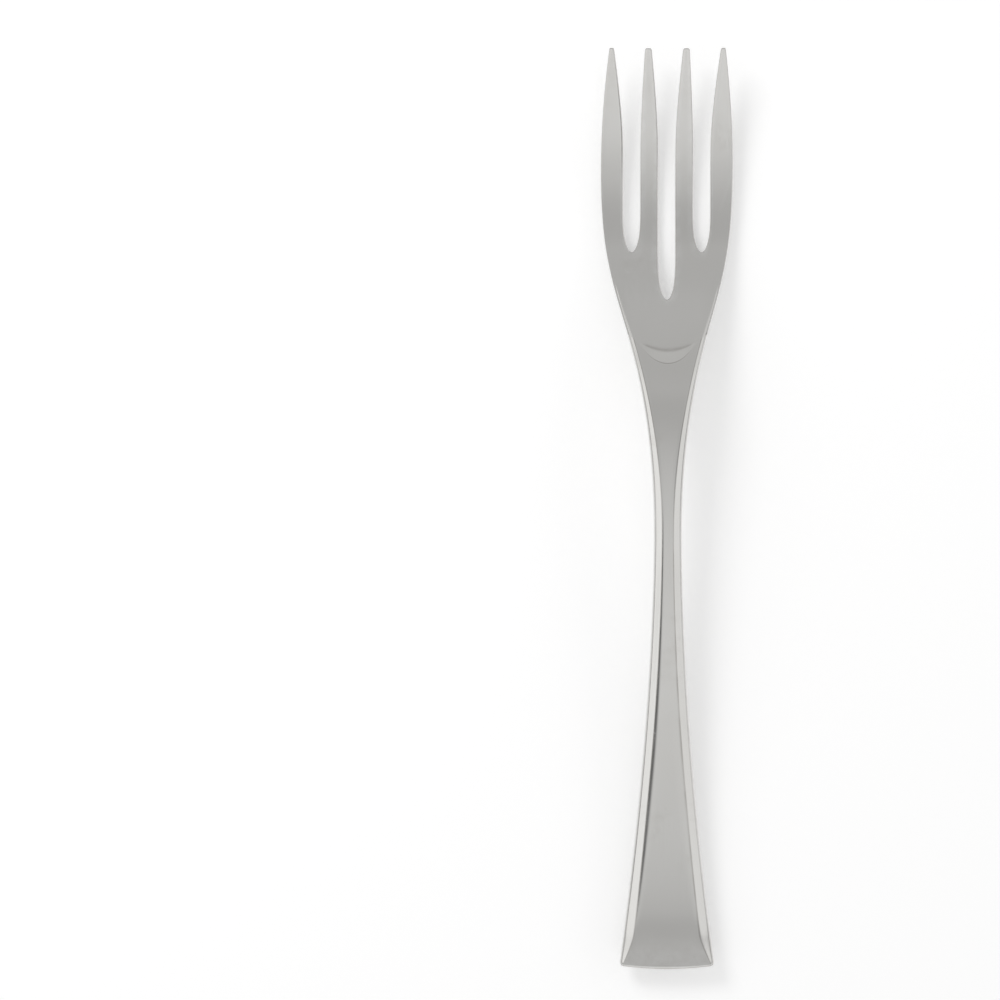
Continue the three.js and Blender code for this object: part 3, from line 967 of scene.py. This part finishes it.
    def add_tang(self, skin: Skin, shoulder: list[BMFace]) -> None:
        """Draws the plug and the tang back from the head's shoulder, inside the handle.

        Args:
            skin: The head's sheet, already in place.
            shoulder: Faces of the shoulder.
        """
        form = self.form
        bmesh.ops.inset_region(
            skin.mesh, faces=shoulder, thickness=self.plug_inset * MM, use_even_offset=True,
            use_boundary=True)
        faces = shoulder
        for index, length in enumerate((self.plug_length, self.plug_length, self.tang_length)):
            stop = form.mouth - length
            made = bmesh.ops.extrude_face_region(skin.mesh, geom=faces)["geom"]
            bmesh.ops.delete(skin.mesh, geom=faces, context="FACES_ONLY")
            faces = [item for item in made if isinstance(item, BMFace)]
            verts = [item for item in made if isinstance(item, BMVert)]
            half = max(abs(vert.co.x) for vert in verts)
            heights = [vert.co.z for vert in verts]
            middle, rise = (max(heights) + min(heights)) / 2.0, (max(heights) - min(heights)) / 2.0
            top = form.crest(stop) - form.panel_drop(stop) - self.plug_cover
            low = form.underside(stop) + self.plug_cover
            wide, tall = self.tang_half, self.tang_rise
            if index == 0:
                wide = form.half_width(stop) - self.plug_side
                tall = (top - low) / 2.0 - self.plug_play
            for vert in verts:
                vert.co = form.point(
                    vert.co.x / half * wide, stop,
                    (top + low) / 2.0 + (vert.co.z - middle) / rise * tall)
                vert[skin.row] = 0
        for face in skin.mesh.faces:
            if all(vert[skin.row] == 0 for vert in face.verts):
                face[skin.kind] = Face.WALL.value


class Nodes:
    """Adds and links the nodes of one tree."""

    def __init__(self, tree: NodeTree) -> None:
        """Keeps the tree and clears it."""
        self.tree = tree
        tree.nodes.clear()

    def feed(self, target: NodeSocket, value: object) -> None:
        """Links a socket to a target, or sets a plain value or colour on it.

        Args:
            target: Input socket.
            value: Output socket to link, or a value to set.
        """
        if isinstance(value, NodeSocket):
            self.tree.links.new(value, target)
        else:
            target.default_value = (*value, 1.0) if target.type == "RGBA" else value

    def add(self, kind: str, inputs: dict[str, object] | None = None, **settings: object) -> Node:
        """Adds a node.

        Args:
            kind: Type of the node.
            inputs: Sockets or values that it takes, by name.
            settings: Its own properties.

        Returns:
            The node.
        """
        made = self.tree.nodes.new(kind)
        for name, value in settings.items():
            setattr(made, name, value)
        for name, value in (inputs or {}).items():
            self.feed(made.inputs[name], value)
        return made

    def math(self, operation: str, *values: object) -> NodeSocket:
        """Adds a Math node that takes sockets or numbers, and gives its output."""
        made = self.add("ShaderNodeMath", operation=operation)
        for target, value in zip(made.inputs, values):
            self.feed(target, value)
        return made.outputs[0]

    def ranged(self, value: NodeSocket, low: float, high: float,
               to_low: float = 0.0, to_high: float = 1.0) -> NodeSocket:
        """Adds a smooth Map Range node.

        Args:
            value: Socket that it reads.
            low: Start of the range read.
            high: End of the range read.
            to_low: Value given at the start.
            to_high: Value given at the end.

        Returns:
            Its output.
        """
        made = self.add("ShaderNodeMapRange", interpolation_type="SMOOTHSTEP")
        for target, item in zip(made.inputs, (value, low, high, to_low, to_high)):
            self.feed(target, item)
        return made.outputs[0]

    def mixed(self, share: object, first: object, second: object,
              kind: Mix = Mix.COLOUR) -> NodeSocket:
        """Adds a Mix node.

        Args:
            share: Share of the second value.
            first: First value, or its socket.
            second: Second value, or its socket.
            kind: What it blends.

        Returns:
            Its output.
        """
        data_type, low, high, out = kind.value
        made = self.add("ShaderNodeMix", data_type=data_type)
        for index, item in ((0, share), (low, first), (high, second)):
            self.feed(made.inputs[index], item)
        return made.outputs[out]

    def noise(self, vector: NodeSocket, scale: object, detail: float,
              rough: float = 0.5) -> NodeSocket:
        """Adds a Noise Texture node.

        Args:
            vector: Coordinates that it reads.
            scale: Size of its pattern.
            detail: Number of finer layers.
            rough: Strength of the finer layers.

        Returns:
            Its value.
        """
        values = {"Vector": vector, "Scale": scale, "Detail": detail, "Roughness": rough}
        return self.add("ShaderNodeTexNoise", values).outputs[0]

    def turned(self, vector: NodeSocket, turn: float, scale: Triple) -> NodeSocket:
        """Adds a Mapping node that turns coordinates in plan and stretches them.

        Args:
            vector: Coordinates that it reads.
            turn: Turn in degrees.
            scale: Stretch along each axis.

        Returns:
            The new coordinates.
        """
        values = {"Vector": vector, "Rotation": (0.0, 0.0, math.radians(turn)),
                  "Scale": [1.0 / size for size in scale]}
        return self.add("ShaderNodeMapping", values, vector_type="TEXTURE").outputs[0]

    def show(self, kind: str, shader: Node) -> None:
        """Links a shader to a new output, of a Material or of the World."""
        self.add(f"ShaderNodeOutput{kind}", {"Surface": shader.outputs[0]})

    def give(self, values: dict[str, NodeSocket]) -> NodeTree:
        """Ends a node group.

        Args:
            values: What the group gives, by name.

        Returns:
            The group.
        """
        for label in values:
            self.tree.interface.new_socket(label, in_out="OUTPUT", socket_type="NodeSocketFloat")
        self.add("NodeGroupOutput", values)
        return self.tree


def effect(name: str, values: dict[str, float]) -> tuple[Nodes, list[NodeSocket]]:
    """Starts a node group that finishes share.

    Args:
        name: Name of the group.
        values: Default of each input after the coordinates, by name.

    Returns:
        The group's nodes, and the sockets of its coordinates and of its other inputs.
    """
    tree = bpy.data.node_groups.new(name, "ShaderNodeTree")
    tree.interface.new_socket("Vector", in_out="INPUT", socket_type="NodeSocketVector")
    for label, default in values.items():
        made = tree.interface.new_socket(label, in_out="INPUT", socket_type="NodeSocketFloat")
        made.default_value = default
    nodes = Nodes(tree)
    read = nodes.add("NodeGroupInput")
    return nodes, [read.outputs[label] for label in ("Vector", *values)]


@dataclass
class Effects:
    """Groups that give the small-scale detail of the finishes."""

    line_stretch: Triple = (5200.0, 70.0, 1400.0)
    line_height: float = 0.3
    scratches: tuple[Pair, ...] = ((7.0, 520.0), (-16.0, 430.0), (38.0, 610.0))
    scratch_stretch: Pair = (5.0, 90.0)
    scratch_half: float = 0.006
    scratch_height: float = -0.5
    patch_stretch: Triple = (210.0, 75.0, 120.0)
    patch_span: Pair = (0.54, 0.68)
    cloud_span: Pair = (0.42, 0.7)
    fine_size: float = 7.0
    fine_span: Row = (0.25, 0.75, 0.35, 1.0)
    tone_size: float = 0.35
    broken_size: float = 420.0
    broken_span: Row = (0.3, 0.7, 0.2, 1.0)
    patchy_size: float = 110.0
    patchy_span: Row = (0.35, 0.7, 0.5, 1.0)
    rub_span: Pair = (0.15, 0.9)
    soil_and_shade_span: Pair = (0.2, 1.0)
    marks: NodeTree = field(init=False)
    film: NodeTree = field(init=False)
    wear_sheen_and_shade: NodeTree = field(init=False)

    def __post_init__(self) -> None:
        """Makes the three groups."""
        self.marks = self.polish_marks()
        self.film = self.handling_film()
        self.wear_sheen_and_shade = self.edge_wear_sheen_and_shade()

    def polish_marks(self) -> NodeTree:
        """Fine lengthwise polishing lines and a few stray scratches.

        Returns:
            The group, which gives a height, the lines and a mask of the scratches.
        """
        nodes, (vector, fineness) = effect("polish_marks", {"Fineness": 1.0})
        along = nodes.turned(vector, 0.0, self.line_stretch)
        lines = nodes.noise(along, fineness, detail=2.0)
        scratch = 0.0
        for turn, across in self.scratches:
            aslant = nodes.turned(vector, turn, (across, *self.scratch_stretch))
            thread = nodes.noise(aslant, fineness, detail=0.0)
            near = nodes.math("ABSOLUTE", nodes.math("SUBTRACT", thread, 0.5))
            wide = nodes.turned(vector, turn, self.patch_stretch)
            patch = nodes.noise(wide, fineness, detail=1.0)
            line = nodes.math("MULTIPLY", nodes.ranged(near, 0.0, self.scratch_half, 1.0, 0.0),
                              nodes.ranged(patch, *self.patch_span))
            scratch = nodes.math("MAXIMUM", line, scratch)
        height = nodes.math("MULTIPLY_ADD", scratch, self.scratch_height,
                            nodes.math("MULTIPLY", lines, self.line_height))
        return nodes.give({"Height": height, "Grain": lines, "Scratch": scratch})

    def handling_film(self) -> NodeTree:
        """Thin cloudy film that handling leaves on polished metal.

        Returns:
            The group, which gives a film mask and a slow change of tone.
        """
        nodes, (vector, size) = effect("handling_film", {"Size": 90.0})
        cloud = nodes.noise(vector, size, detail=4.0, rough=0.55)
        finer = nodes.math("MULTIPLY", size, self.fine_size)
        fine = nodes.noise(vector, finer, detail=3.0, rough=0.6)
        film = nodes.math("MULTIPLY", nodes.ranged(cloud, *self.cloud_span),
                          nodes.ranged(fine, *self.fine_span))
        slower = nodes.math("MULTIPLY", size, self.tone_size)
        tone = nodes.noise(vector, slower, detail=2.0)
        return nodes.give({"Film": film, "Tone": tone})

    def edge_wear_sheen_and_shade(self) -> NodeTree:
        """Breaks up the marks of rubbed edges with the scoop's painted highlight, and of grime in the
        joints with the painted shade in creases.

        Returns:
            The group, which gives the two masks.
        """
        nodes, (vector, rub, soil_and_shade) = effect("edge_wear_sheen_and_shade", {"Rub": 0.0, "Soil_and_shade": 0.0})
        broken = nodes.noise(vector, self.broken_size, detail=3.0)
        broken = nodes.ranged(broken, *self.broken_span)
        patchy = nodes.noise(vector, self.patchy_size, detail=3.0)
        patchy = nodes.ranged(patchy, *self.patchy_span)
        # Edge wear and the scoop's painted highlight, broken up.
        rubbed = nodes.math("MULTIPLY", nodes.ranged(rub, *self.rub_span), broken)
        # Grime in the joints and painted shade in creases, broken up.
        grime_and_shade = nodes.math("MULTIPLY", nodes.ranged(soil_and_shade, *self.soil_and_shade_span), patchy)
        return nodes.give({"Rubbed_and_sheen": rubbed, "Grime_and_shade": grime_and_shade})


@dataclass(frozen=True)
class Finish:
    """A material whose colour, roughness and fine relief vary over a piece."""

    name: str
    film_size: float = 90.0
    metal: float = 1.0
    bump: float = 0.25
    bump_depth: float = 0.00001
    middle_span: Pair = (0.3, 0.7)

    def build(self, effects: Effects) -> Material:
        """Makes the material.

        Args:
            effects: Groups that the finishes share.

        Returns:
            The material.
        """
        made = bpy.data.materials.new(self.name)
        made.use_nodes = True
        nodes = Nodes(made.node_tree)
        place = nodes.add("ShaderNodeTexCoord").outputs["Object"]
        film = nodes.add("ShaderNodeGroup", {"Vector": place, "Size": self.film_size},
                         node_tree=effects.film)
        colour, rough, height = self.detail(nodes, place, film, effects)
        relief = nodes.add("ShaderNodeBump", {
            "Strength": self.bump, "Distance": self.bump_depth, "Height": height})
        nodes.show("Material", nodes.add("ShaderNodeBsdfPrincipled", {
            "Base Color": colour, "Metallic": self.metal, "Roughness": rough,
            "Normal": relief.outputs[0]}))
        return made

    def detail(self, nodes: Nodes, place: NodeSocket, film: Node, effects: Effects) -> Sockets:
        """Adds what varies over a piece, which each finish says for itself.

        Args:
            nodes: Nodes of the material.
            place: Coordinates of the piece.
            film: Node of the handling film.
            effects: Groups that the finishes share.

        Returns:
            The colour, the roughness and the height of the relief.
        """
        raise NotImplementedError


@dataclass(frozen=True)
class PolishedSteel(Finish):
    """Bright polished stainless steel with the faint marks of use, a painted highlight and painted
    shade.
    """

    clean: Colour = (0.735, 0.728, 0.71)
    filmed: Colour = (0.675, 0.664, 0.638)
    # Light tint for scratches, rubbed edges and the scoop's painted highlight.
    rubbed: Colour = (0.79, 0.785, 0.77)
    # Dark tint for grime in the joints and for painted shade in creases.
    grime_and_shade_tint: Colour = (0.34, 0.325, 0.30)
    tone_share: float = 0.5
    film_share: float = 0.8
    grain_share: float = 0.35
    scratch_share: float = 0.5
    rub_share: float = 0.6
    grime_and_shade_share: float = 0.6
    roughness: float = 0.13
    film_roughness: float = 0.06
    scratch_roughness: float = 0.10
    grime_and_shade_roughness: float = 0.12

    def detail(self, nodes: Nodes, place: NodeSocket, film: Node, effects: Effects) -> Sockets:
        """Adds the film, the polishing lines, the scratches, the rubbed edges with the scoop's
        painted highlight, and the grime with the painted shade in creases.

        Args:
            nodes: Nodes of the material.
            place: Coordinates of the piece.
            film: Node of the handling film.
            effects: Groups that the finishes share.

        Returns:
            The colour, the roughness and the height of the relief.
        """
        marks = nodes.add("ShaderNodeGroup", {"Vector": place}, node_tree=effects.marks)
        wear_sheen_and_shade = nodes.add("ShaderNodeGroup", {"Vector": place}, node_tree=effects.wear_sheen_and_shade)
        for label in ("rub", "soil_and_shade"):
            mark = nodes.add("ShaderNodeAttribute", attribute_name=label)
            nodes.feed(wear_sheen_and_shade.inputs[label.capitalize()], mark.outputs["Fac"])
        cloud, scratch, grime_and_shade = film.outputs["Film"], marks.outputs["Scratch"], wear_sheen_and_shade.outputs["Grime_and_shade"]
        tone = nodes.ranged(film.outputs["Tone"], *self.middle_span, 0.0, self.tone_share)
        grain = nodes.ranged(marks.outputs["Grain"], *self.middle_span, 0.0, self.grain_share)
        cover = nodes.math("MAXIMUM", tone, nodes.math("MULTIPLY", cloud, self.film_share))
        colour = nodes.mixed(nodes.math("MAXIMUM", cover, grain), self.clean, self.filmed)
        for mask, share, tint in (
                (scratch, self.scratch_share, self.rubbed),
                (wear_sheen_and_shade.outputs["Rubbed_and_sheen"], self.rub_share, self.rubbed),
                (grime_and_shade, self.grime_and_shade_share, self.grime_and_shade_tint)):
            colour = nodes.mixed(nodes.math("MULTIPLY", mask, share), colour, tint)
        rough = self.roughness
        for mask, amount in (
                (cloud, self.film_roughness), (scratch, self.scratch_roughness),
                (grime_and_shade, self.grime_and_shade_roughness)):
            rough = nodes.math("MULTIPLY_ADD", mask, amount, rough)
        return colour, rough, marks.outputs["Height"]


@dataclass(frozen=True)
class CastCement(Finish):
    """Resin cement with sandy grains and small pores, cast inside the handle."""

    film_size: float = 240.0
    metal: float = 0.0
    bump: float = 0.6
    bump_depth: float = 0.0002
    pale: Colour = (0.52, 0.48, 0.405)
    dark: Colour = (0.36, 0.325, 0.265)
    grain_size: float = 2600.0
    pore_size: float = 900.0
    pore_span: Row = (0.08, 0.22, 1.0, 0.0)
    rough_span: Row = (0.2, 0.8, 0.78, 0.95)

    def detail(self, nodes: Nodes, place: NodeSocket, film: Node, effects: Effects) -> Sockets:
        """Adds the grains and the pores, which carry painted shade.

        Args:
            nodes: Nodes of the material.
            place: Coordinates of the piece.
            film: Node of the handling film.
            effects: Groups that the finishes share.

        Returns:
            The colour, the roughness and the height of the relief.
        """
        grain = nodes.noise(place, self.grain_size, detail=3.0, rough=0.65)
        pores = nodes.add("ShaderNodeTexVoronoi", {"Vector": place, "Scale": self.pore_size})
        # Pore mask: painted shade in the pores' colour, and their sunk relief.
        pit_and_shade = nodes.ranged(pores.outputs["Distance"], *self.pore_span)
        shade = nodes.math("MULTIPLY_ADD", film.outputs["Tone"], 0.5,
                           nodes.math("MULTIPLY", grain, 0.5))
        colour = nodes.mixed(nodes.ranged(shade, *self.middle_span), self.pale, self.dark)
        return (nodes.mixed(pit_and_shade, colour, self.dark), nodes.ranged(grain, *self.rough_span),
                nodes.math("SUBTRACT", grain, pit_and_shade))


@dataclass
class Studio:
    """Light tent, lamp, floor and camera for the plan view.

    The tent is laid out by the parts of a unit direction. The foot and the ends of its walls are each
    a range over which the walls dim, and the level that they dim to. A card is its middle, where it
    is full, where it stops, and the share of the light that it takes away.
    """

    wall_level: float = 0.97
    wall_tilt: float = 0.08
    wall_foot: Triple = (0.06, 0.36, 0.42)
    wall_ends: Triple = (0.0, 0.5, 0.52)
    wall_top: Pair = (0.42, 0.56)
    wall_side: Pair = (0.72, 0.82)
    handle_end: float = 0.3
    ceiling: tuple[Pair, ...] = (
        (-1.0, 0.98), (-0.60, 0.90), (-0.30, 0.77), (-0.23, 0.73), (-0.19, 0.68), (-0.12, 0.635),
        (-0.08, 0.59), (-0.03, 0.545), (0.05, 0.52), (0.20, 0.53), (0.34, 0.57), (0.46, 0.555),
        (0.62, 0.545), (0.74, 0.58), (0.86, 0.64), (1.0, 0.80))
    card_across: Row = (0.32, 0.66, 0.72, 0.80)
    right_card: Row = (-0.28, 0.085, 0.13, 0.88)
    left_card: Row = (0.0, 0.10, 0.16, 0.24)
    lamp_place: Triple = (-0.55, 0.6, 0.75)
    lamp_size: float = 0.5
    lamp_watts: float = 3.4
    floor_size: float = 6.0
    floor_drop: float = 0.00005
    floor_colour: Colour = (0.86, 0.86, 0.86)
    floor_roughness: float = 0.9
    floor_gloss: float = 0.1
    floor_lift: float = 0.285
    camera_place: Triple = (-0.0408, 0.00234, 1.4)
    view_width: float = 0.24417
    view_height: float = 0.007
    view_depth: Pair = (0.01, 20.0)
    sensor: float = 36.0
    white: Colour = (1.0, 1.0, 1.0)
    made: list[Object] = field(default_factory=list)

    def build(self) -> None:
        """Makes the light, the floor and the camera."""
        self.tent()
        self.lamp()
        self.floor()
        self.camera()

    def link(self, item: Object) -> Object:
        """Puts an object in the scene and keeps it."""
        bpy.context.scene.collection.objects.link(item)
        self.made.append(item)
        return item

    def roof(self, nodes: Nodes, y: NodeSocket) -> NodeSocket:
        """Adds the tent's grey roof, whose level changes along the fork.

        Args:
            nodes: Nodes of the world.
            y: Part of the direction that runs along the fork.

        Returns:
            The level.
        """
        made = nodes.add("ShaderNodeValToRGB")
        nodes.feed(made.inputs[0], nodes.math("MULTIPLY_ADD", y, 0.5, 0.5))
        ramp = made.color_ramp
        ramp.interpolation = "B_SPLINE"
        for index, (along, level) in enumerate(self.ceiling):
            place = (along + 1.0) / 2.0
            if index < 2:
                stop = ramp.elements[index]
                stop.position = place
            else:
                stop = ramp.elements.new(place)
            stop.color = (level, level, level, 1.0)
        return made.outputs[0]

    def tent(self) -> None:
        """Lights the scene by direction: bright walls, a grey roof and two darker cards."""
        world = bpy.data.worlds.new("light_tent")
        world.use_nodes = True
        nodes = Nodes(world.node_tree)
        towards = nodes.add("ShaderNodeTexCoord").outputs["Generated"]
        x, y, z = nodes.add("ShaderNodeSeparateXYZ", {"Vector": towards}).outputs
        aside = nodes.math("ABSOLUTE", x)
        low, high, foot = self.wall_foot
        near_end, at_end, dimmed = self.wall_ends
        endways = nodes.math("MAXIMUM", nodes.math("SUBTRACT", y, aside),
                             nodes.math("MULTIPLY_ADD", y, -1.0, -self.handle_end))
        wall = nodes.math("MULTIPLY_ADD", x, self.wall_tilt, self.wall_level)
        wall = nodes.math("MULTIPLY", wall, nodes.ranged(z, low, high, foot, 1.0))
        wall = nodes.math("MULTIPLY", wall, nodes.ranged(endways, near_end, at_end, 1.0, dimmed))
        over = nodes.math("MULTIPLY", nodes.ranged(z, *self.wall_top),
                          nodes.ranged(aside, *self.wall_side, 1.0, 0.0))
        glow = nodes.mixed(over, wall, self.roof(nodes, y), Mix.LEVEL)
        start, full, late, end = self.card_across
        for side, (middle, near, far, shade) in ((1.0, self.right_card), (-1.0, self.left_card)):
            out = nodes.math("MULTIPLY", x, side)
            across = nodes.math("MULTIPLY", nodes.ranged(out, start, full),
                                nodes.ranged(out, late, end, 1.0, 0.0))
            along = nodes.math("ABSOLUTE", nodes.math("SUBTRACT", y, middle))
            card = nodes.math("MULTIPLY", across, nodes.ranged(along, near, far, 1.0, 0.0))
            glow = nodes.math("MULTIPLY", glow, nodes.math("MULTIPLY_ADD", card, -shade, 1.0))
        nodes.show("World", nodes.add("ShaderNodeBackground", {
            "Color": self.white, "Strength": glow}))
        bpy.context.scene.world = world

    def lamp(self) -> None:
        """Adds one soft lamp, up and to the left, that gives the shadow its direction."""
        data = bpy.data.lights.new("soft_lamp", "AREA")
        data.shape = "DISK"
        data.size = self.lamp_size
        data.energy = self.lamp_watts
        lamp = self.link(bpy.data.objects.new("soft_lamp", data))
        lamp.location = self.lamp_place
        lamp.rotation_euler = (-Vector(self.lamp_place)).to_track_quat("-Z", "Y").to_euler()
        lamp.visible_glossy = False

    def floor(self) -> None:
        """Lays a plain pale floor under the fork, which looks a little brighter than it is lit."""
        shape = bmesh.new()
        bmesh.ops.create_grid(shape, x_segments=1, y_segments=1, size=self.floor_size / 2.0)
        bmesh.ops.translate(shape, verts=shape.verts, vec=(0.0, 0.0, -self.floor_drop))
        data = bpy.data.meshes.new("floor")
        shape.to_mesh(data)
        shape.free()
        made = bpy.data.materials.new("pale_floor")
        made.use_nodes = True
        nodes = Nodes(made.node_tree)
        path = nodes.add("ShaderNodeLightPath").outputs
        seen = nodes.math("MAXIMUM", path["Is Camera Ray"], path["Is Glossy Ray"])
        seen = nodes.math("MAXIMUM", seen, path["Is Transmission Ray"])
        nodes.show("Material", nodes.add("ShaderNodeBsdfPrincipled", {
            "Base Color": self.floor_colour, "Roughness": self.floor_roughness,
            "Specular IOR Level": self.floor_gloss, "Emission Color": self.white,
            "Emission Strength": nodes.math("MULTIPLY", seen, self.floor_lift)}))
        data.materials.append(made)
        self.link(bpy.data.objects.new("floor", data))

    def camera(self) -> None:
        """Looks straight down with a long lens, with the tines at the top of the picture."""
        data = bpy.data.cameras.new("plan_camera")
        data.sensor_width = self.sensor
        data.lens = self.sensor * (self.camera_place[2] - self.view_height) / self.view_width
        data.clip_start, data.clip_end = self.view_depth
        camera = self.link(bpy.data.objects.new("plan_camera", data))
        camera.location = self.camera_place
        bpy.context.scene.camera = camera


def main() -> None:
    """Builds the studio and the fork's pieces in order."""
    logging.basicConfig(level=logging.INFO, format="%(name)s: %(message)s")
    bpy.context.scene.view_settings.view_transform = "Standard"
    studio = Studio()
    studio.build()
    LOG.info("studio: %s", ", ".join(item.name for item in studio.made))
    form = ForkForm()
    effects = Effects()
    front = FrontShell(form)
    settle(front.build(), "handle_front_shell",
           PolishedSteel("front_steel_polished").build(effects))
    settle(BackShell(form, front).build(), "handle_back_shell",
           PolishedSteel("back_steel_polished", film_size=75.0).build(effects))
    settle(ForkHead(form).build(), "fork_head",
           PolishedSteel("head_steel_polished", film_size=60.0).build(effects))
    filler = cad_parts["handle_filler"]
    filler.material_slots[0].material = CastCement("cast_cement").build(effects)
    LOG.info("handle_filler keeps its solid, in %s", filler.material_slots[0].material.name)


if __name__ == "__main__":
    main()
